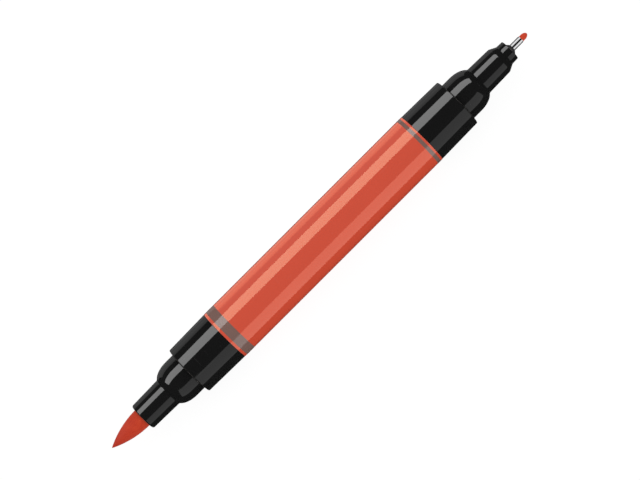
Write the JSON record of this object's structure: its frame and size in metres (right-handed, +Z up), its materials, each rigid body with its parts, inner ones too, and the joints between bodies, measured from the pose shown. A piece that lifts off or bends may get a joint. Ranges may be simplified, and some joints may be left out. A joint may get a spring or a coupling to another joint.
{
  "type": "calligraphy marker",
  "caption": "Uncapped dual-tip marker: soft pointed brush nib at one end of a round barrel, fine fibre tip in a steel tube at the other, black stepped front pieces with cap seats.",
  "frame": {"origin": "on the pen's axis, halfway along the pen", "axes": "+X along the pen's axis from the brush tip towards the fine tip, +Z up with the pen lying level"},
  "size_m": [0.1348, 0.0134, 0.0135],
  "materials": {
    "barrel_plastic": "glossy moulded red-orange plastic with two printed grey-brown rings",
    "black_plastic": "glossy moulded black plastic",
    "nib_fibre": "soft bonded fibre soaked in red-orange ink",
    "holder_plastic": "metallic-grey moulded plastic",
    "tube_steel": "bright drawn stainless steel",
    "reservoir_fibre": "bonded polyester fibre soaked in ink",
    "reservoir_film": "thin clear film"
  },
  "bodies": {
    "pen_body": {"barrel": "barrel_plastic", "brush_section": "black_plastic", "fine_section": "black_plastic", "fine_tip_holder": "holder_plastic", "fine_tip_tube": "tube_steel", "fine_nib": "nib_fibre", "reservoir_core": "reservoir_fibre", "reservoir_film": "reservoir_film"},
    "brush_nib_stem": {"brush_nib_stem": "nib_fibre"},
    "brush_nib_point": {"brush_nib_point": "nib_fibre"}
  },
  "joints": [
    {"name": "brush_nib_pull_out", "type": "slide", "parent": "pen_body", "child": "brush_nib_stem", "axis": [-1, 0, 0], "range_m": [0, 0.022]},
    {"name": "brush_nib_bend", "type": "hinge", "parent": "brush_nib_stem", "child": "brush_nib_point", "pos_m": [-0.05794, 0, 0], "axis": [0, 1, 0], "range_deg": [-20, 20], "stiffness_Nm_per_rad": 0.01}
  ]
}
